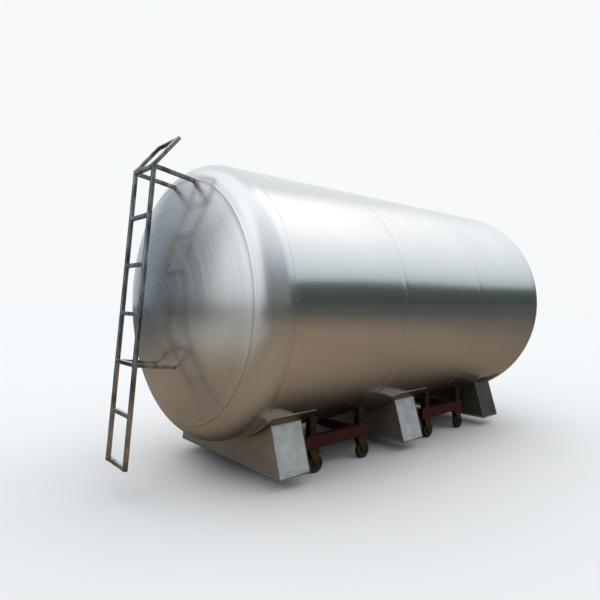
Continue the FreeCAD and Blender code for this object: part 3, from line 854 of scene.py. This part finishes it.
stain_start = front_seam - 0.24
stain_length = 0.045
tube_steel = tube_finish()
ladder_parts = ("ladder_", "upper_", "lower_", "handhold_")
ladder_nodes = [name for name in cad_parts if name.startswith(ladder_parts)]
ladder_runs = []
for name in sorted(ladder_nodes):
    tube = rounded_tube(name, f"{name}_tube")
    tube.data.materials.append(tube_steel)
    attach(tube, "tank")
    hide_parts(name)
    low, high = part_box(name)
    points = [vertex.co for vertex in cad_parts[name].data.vertices]
    if name.endswith("_bracket"):
        for y in (low.y, high.y):
            column = [point for point in points if abs(point.y - y) < same_place]
            column.sort(key=lambda point: -point.x)
            ladder_runs.append([tuple(column[0]), tuple(column[1])])
        near, far = ladder_runs[-2], ladder_runs[-1]
        ladder_runs.append([near[0], far[0]])
        ladder_runs.append([near[1], far[1]])
    if name.startswith(("ladder_rung", "ladder_top", "ladder_bottom")):
        middle = (low + high) / 2
        for y in (low.y, high.y):
            ring = []
            for point in points:
                out = Vector((point.x - middle.x, 0, point.z - middle.z))
                if abs(point.y - y) < same_place and out.length > corner_distance:
                    corner = tuple(round(value, 6) for value in point)
                    ring.append((math.atan2(out.z, out.x), corner))
            ring.sort(key=lambda found: found[0])
            ring = [corner for angle, corner in ring]
            ring = [corner for number, corner in enumerate(ring) if corner not in ring[:number]]
            ladder_runs.append(ring + ring[:1])
ladder_beads = bead_lines("ladder_beads", ladder_runs, tube_bead)
ladder_beads.data.materials.append(bead_metal)
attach(ladder_beads, "tank")


# ---- Dollies
# Frames of rectangular steel tube, painted red-brown and welded. The tops of their posts are
# curved to the shell.
def paint_finish():
    """Old red-brown primer: patchy and dull, with painted shade darkening it towards its top, worn
    pale on its edges.
    """
    finish, nodes, links, shader = new_finish("red-brown paint", 0.0)
    clouds = noise(nodes, links, 7.0, 6.0, 0.7)
    paint = mixed(nodes, links, clouds, (0.026, 0.006, 0.005), (0.105, 0.021, 0.015))
    place = nodes.new("ShaderNodeTexCoord")
    split = nodes.new("ShaderNodeSeparateXYZ")
    links.new(place.outputs["Object"], split.inputs["Vector"])
    # Painted shade: the shade under the tank is painted in, darkening the paint to near black from
    # 0.295 m to 0.335 m up.
    painted_shade_share = ranged(nodes, links, split.outputs["Z"], 0.0, 0.92, 0.295, 0.335)
    paint_with_painted_shade = mixed(nodes, links, painted_shade_share, paint, (0.010, 0.006, 0.005))
    shape = nodes.new("ShaderNodeNewGeometry")
    wear = ranged(nodes, links, shape.outputs["Pointiness"], 0.0, 0.7, 0.52, 0.60)
    worn = mixed(nodes, links, wear, paint_with_painted_shade, (0.09, 0.045, 0.034))
    links.new(worn, shader.inputs["Base Color"])
    shader.inputs["Specular IOR Level"].default_value = 0.25
    gloss = ranged(nodes, links, noise(nodes, links, 40.0, 4.0), 0.5, 0.8)
    links.new(gloss, shader.inputs["Roughness"])
    links.new(bump(nodes, links, noise(nodes, links, 60.0, 3.0), 0.0012), shader.inputs["Normal"])
    return finish


dolly_paint = paint_finish()
post_half = 0.035
beam_height = 0.1
beam_half = 0.03
beam_edge = 0.002
# A kingpin's rounded root has to stay inside the 1 mm between its plate and the fork.
side_edge = 0.0008
for dolly in ("front_dolly", "rear_dolly"):
    runs = []
    for part in ("near_side", "far_side", "front_beam", "rear_beam"):
        label = f"{dolly}_{part}"
        edge = side_edge if part.endswith("side") else beam_edge
        member = carried_over(label, f"{label}_member", edge)
        member.data.materials.append(dolly_paint)
        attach(member, "tank")
        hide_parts(label)
    for end in ("front", "rear"):
        low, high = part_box(f"{dolly}_{end}_beam")
        middle = (low.x + high.x) / 2
        for y in (low.y, high.y):
            runs.append(square_run(Vector((low.x, y, low.z)), Vector((high.x, y, high.z)), "y"))
        top = low.z + beam_height
        for y in (low.y - beam_half, high.y + beam_half):
            foot_low = Vector((middle - post_half, y - beam_half, top))
            foot_high = Vector((middle + post_half, y + beam_half, top))
            runs.append(square_run(foot_low, foot_high, "z"))
    beads = bead_lines(f"{dolly}_beads", runs, plate_bead)
    beads.data.materials.append(dolly_paint)
    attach(beads, "tank")


# ---- Casters
# Pressed forks with a worn yellow zinc finish and a foot brake, and wheels with a dark brown
# tyre on a lighter core. A nut holds each end of the axle.
def zinc_finish():
    """Yellow zinc plate, browned and worn dull."""
    finish, nodes, links, shader = new_finish("yellow zinc", 0.85)
    clouds = noise(nodes, links, 22.0, 5.0, 0.65)
    tones = mixed(nodes, links, clouds, (0.035, 0.025, 0.012), (0.22, 0.155, 0.07))
    links.new(tones, shader.inputs["Base Color"])
    gloss = ranged(nodes, links, noise(nodes, links, 60.0, 3.0), 0.35, 0.6)
    links.new(gloss, shader.inputs["Roughness"])
    links.new(bump(nodes, links, noise(nodes, links, 80.0, 2.0), 0.0006), shader.inputs["Normal"])
    return finish


def rubber_finish(name, dark, light, roughness):
    """Matt rubber or moulded core, finely speckled."""
    finish, nodes, links, shader = new_finish(name, 0.0)
    clouds = noise(nodes, links, 40.0, 5.0, 0.6)
    links.new(mixed(nodes, links, clouds, dark, light), shader.inputs["Base Color"])
    gloss = ranged(nodes, links, noise(nodes, links, 90.0, 3.0), roughness, roughness + 0.2)
    links.new(gloss, shader.inputs["Roughness"])
    relief = bump(nodes, links, noise(nodes, links, 120.0, 2.0), 0.0006)
    links.new(relief, shader.inputs["Normal"])
    return finish


zinc = zinc_finish()
tyre = rubber_finish("brown tyre", (0.010, 0.006, 0.005), (0.040, 0.024, 0.018), 0.5)
core = rubber_finish("wheel core", (0.035, 0.022, 0.012), (0.10, 0.07, 0.035), 0.4)
tyre_inside = 0.0565
fork_edge = 0.0012
tyre_edge = 0.001
nut_edge = 0.0015
nut_radius = 0.011
nut_height = 0.009
fork_outside = 0.0295
for name in sorted(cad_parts):
    if name.endswith("_fork"):
        fork = carried_over(name, f"{name}_pressing", fork_edge)
        fork.data.materials.append(zinc)
        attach(fork, name)
        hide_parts(name)
    if name.endswith("_wheel"):
        low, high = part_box(name)
        hub = (low + high) / 2
        wheel = carried_over(name, f"{name}_tyred", tyre_edge)
        wheel.data.materials.append(tyre)
        wheel.data.materials.append(core)
        for face in wheel.data.polygons:
            away = face.center - hub
            face.material_index = 0 if math.hypot(away.x, away.z) > tyre_inside else 1
        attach(wheel, name)
        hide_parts(name)
        for side in (-1, 1):
            bpy.ops.object.select_all(action="DESELECT")
            bpy.ops.mesh.primitive_cylinder_add(
                vertices=6, radius=nut_radius, depth=nut_height, rotation=(math.pi / 2, 0, 0),
                location=(hub.x, hub.y + side * (fork_outside + nut_height / 2), hub.z),
            )
            nut = bpy.context.object
            nut.name = f"{name}_{'near' if side < 0 else 'far'}_nut"
            bpy.ops.object.transform_apply(location=True, rotation=True, scale=True)
            chamfer = nut.modifiers.new("chamfer", "BEVEL")
            chamfer.width = nut_edge
            chamfer.segments = 2
            bpy.ops.object.modifier_apply(modifier=chamfer.name)
            bpy.ops.object.shade_smooth_by_angle(angle=math.radians(30))
            nut.data.materials.append(zinc)
            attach(nut, name.replace("_wheel", "_fork"))


# ---- Size
low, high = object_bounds()
